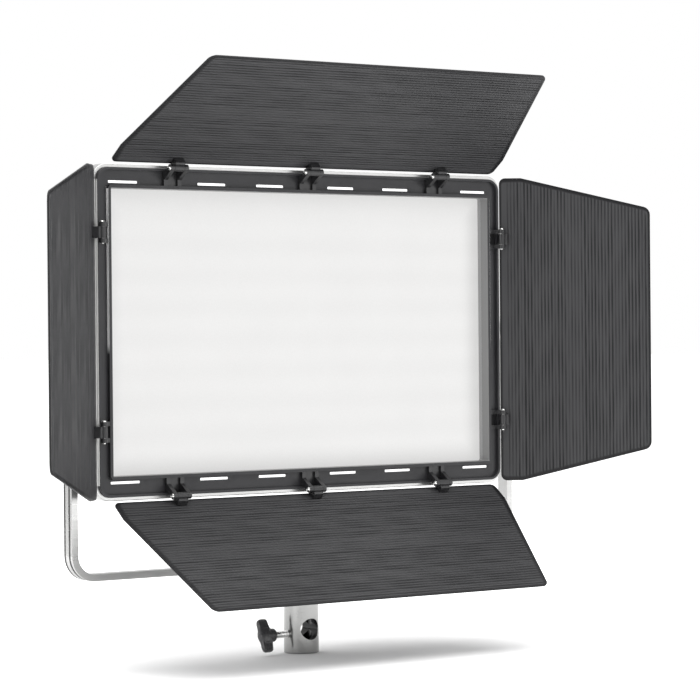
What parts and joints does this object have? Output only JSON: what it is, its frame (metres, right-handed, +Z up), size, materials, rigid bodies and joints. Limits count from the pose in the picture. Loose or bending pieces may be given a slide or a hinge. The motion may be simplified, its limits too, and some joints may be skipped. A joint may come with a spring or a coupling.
{
  "type": "led panel light",
  "caption": "Flat rectangular LED panel light with four folding barn doors, held in a U-shaped yoke with a stand receiver and thumb screw.",
  "frame": {"origin": "centre of the receiver's open lower end, where the stand spigot enters", "axes": "+Z up, the light shines towards -Y, +X to the right as seen from the front"},
  "size_m": [0.5828, 0.1743, 0.4584],
  "materials": {
    "silver_casing": "satin anodised silver",
    "dark_frame": "fine moulded texture, semi-matt",
    "opal_diffuser": "opal, lit from behind",
    "white_well": "matt white",
    "led_board": "white solder mask",
    "led_warm": "yellow phosphor",
    "led_cool": "pale yellow phosphor",
    "heat_sink": "extruded",
    "circuit_board": "green solder mask",
    "steel_case": "bright galvanised sheet",
    "rear_shell": "fine moulded texture",
    "panel_plate": "satin",
    "display_glass": "clear over a dark display",
    "display_module": "dark LCD",
    "knob_plastic": "satin",
    "button_plastic": "soft grey",
    "rocker_plastic": "gloss black",
    "inlet_plastic": "matt black",
    "plated_pin": "nickel plated",
    "black_screw": "black oxide",
    "door_leaf": "dark grey, fine embossed lines inside",
    "hinge_black": "moulded black",
    "hinge_pin": "bright steel",
    "yoke_silver": "satin anodised silver",
    "receiver_silver": "turned, satin",
    "nylon": "nylon",
    "bright_stud": "zinc plated thread",
    "wing_black": "moulded black"
  },
  "bodies": {
    "yoke": {"yoke": "yoke_silver", "stand_receiver": "receiver_silver", "receiver_screw": "black_screw", "receiver_washer": "plated_pin", "receiver_nut": "plated_pin"},
    "top_door": {"top_door": "door_leaf", "top_knuckles": "hinge_black"},
    "bottom_door": {"bottom_door": "door_leaf", "bottom_knuckles": "hinge_black"},
    "left_door": {"left_door": "door_leaf", "left_knuckles": "hinge_black"},
    "right_door": {"right_door": "door_leaf", "right_knuckles": "hinge_black"},
    "head": {"body_frame": "silver_casing", "barn_door_frame": "dark_frame", "light_well": "white_well", "diffuser": "opal_diffuser", "led_board": "led_board", "led_chips_warm": "led_warm", "led_chips_cool": "led_cool", "heat_sink": "heat_sink", "rear_cover": "rear_shell", "rear_cover_screws": "black_screw", "driver_board": "circuit_board", "power_supply": "steel_case", "control_panel": "panel_plate", "display_window": "display_glass", "display_module": "display_module", "control_board": "circuit_board", "dial_encoders": "steel_case", "power_switch_housing": "inlet_plastic", "rocker_pin": "plated_pin", "power_inlet": "inlet_plastic", "inlet_pins": "plated_pin", "pivot_bosses": "silver_casing", "friction_washers": "nylon", "pivot_bolt": "black_screw", "top_brackets": "hinge_black", "top_pins": "hinge_pin", "right_brackets": "hinge_black", "right_pins": "hinge_pin", "bottom_brackets": "hinge_black", "bottom_pins": "hinge_pin", "left_brackets": "hinge_black", "left_pins": "hinge_pin"},
    "brightness_knob": {"brightness_knob": "knob_plastic"},
    "channel_button": {"channel_button": "button_plastic"},
    "colour_knob": {"colour_knob": "knob_plastic"},
    "lock_button": {"lock_button": "button_plastic"},
    "mode_button": {"mode_button": "button_plastic"},
    "power_rocker": {"power_rocker": "rocker_plastic"},
    "thumb_stud": {"thumb_stud": "bright_stud"},
    "thumb_wing": {"thumb_wing": "wing_black"},
    "tilt_lock_knob": {"tilt_lock_knob": "wing_black"},
    "tilt_lock_stud": {"tilt_lock_stud": "bright_stud"}
  },
  "joints": [
    {"name": "head_tilt", "type": "hinge", "parent": "yoke", "child": "head", "pos_m": [0, 0, 0.2565], "axis": [1, 0, 0], "range_deg": [-90, 5]},
    {"name": "top_door_swing", "type": "hinge", "parent": "head", "child": "top_door", "pos_m": [0, -0.023, 0.3817], "axis": [1, 0, 0], "range_deg": [-55, 125]},
    {"name": "bottom_door_swing", "type": "hinge", "parent": "head", "child": "bottom_door", "pos_m": [0, -0.023, 0.1313], "axis": [-1, 0, 0], "range_deg": [-52.8, 127.2]},
    {"name": "left_door_swing", "type": "hinge", "parent": "head", "child": "left_door", "pos_m": [-0.193, -0.02, 0.2565], "axis": [0, 0, 1], "range_deg": [-13.4, 135.6]},
    {"name": "right_door_swing", "type": "hinge", "parent": "head", "child": "right_door", "pos_m": [0.193, -0.02, 0.2565], "axis": [0, 0, -1], "range_deg": [-6.7, 142.3]},
    {"name": "brightness_turn", "type": "hinge", "parent": "head", "child": "brightness_knob", "pos_m": [0.096, 0.045, 0.1915], "axis": [0, 1, 0], "continuous": true},
    {"name": "colour_turn", "type": "hinge", "parent": "head", "child": "colour_knob", "pos_m": [0.124, 0.045, 0.1915], "axis": [0, 1, 0], "continuous": true},
    {"name": "mode_press", "type": "slide", "parent": "head", "child": "mode_button", "axis": [0, -1, 0], "range_m": [0, 0.0012], "stiffness_N_per_m": 400},
    {"name": "channel_press", "type": "slide", "parent": "head", "child": "channel_button", "axis": [0, -1, 0], "range_m": [0, 0.0012], "stiffness_N_per_m": 400},
    {"name": "lock_press", "type": "slide", "parent": "head", "child": "lock_button", "axis": [0, -1, 0], "range_m": [0, 0.0012], "stiffness_N_per_m": 400},
    {"name": "power_switch", "type": "hinge", "parent": "head", "child": "power_rocker", "pos_m": [-0.118, 0.037, 0.1845], "axis": [0, 0, -1], "range_deg": [0, 16]},
    {"name": "tilt_lock_travel", "type": "slide", "parent": "head", "child": "tilt_lock_stud", "axis": [-1, 0, 0], "range_m": [-0.001, 0.0005]},
    {"name": "tilt_lock_turn", "type": "hinge", "parent": "tilt_lock_stud", "child": "tilt_lock_knob", "pos_m": [0.22, 0, 0.2565], "axis": [-1, 0, 0], "range_deg": [-378, 189]},
    {"name": "thumb_screw_travel", "type": "slide", "parent": "yoke", "child": "thumb_stud", "axis": [1, 0, 0], "range_m": [-0.002, 0.002]},
    {"name": "thumb_screw_turn", "type": "hinge", "parent": "thumb_stud", "child": "thumb_wing", "pos_m": [-0.03, 0, 0.0156], "axis": [1, 0, 0], "range_deg": [-756, 756]}
  ],
  "couplings": [
    {"joint": "tilt_lock_turn", "follows": "tilt_lock_travel", "rad_per_m": 6283.2},
    {"joint": "thumb_screw_turn", "follows": "thumb_screw_travel", "rad_per_m": 6283.2}
  ]
}
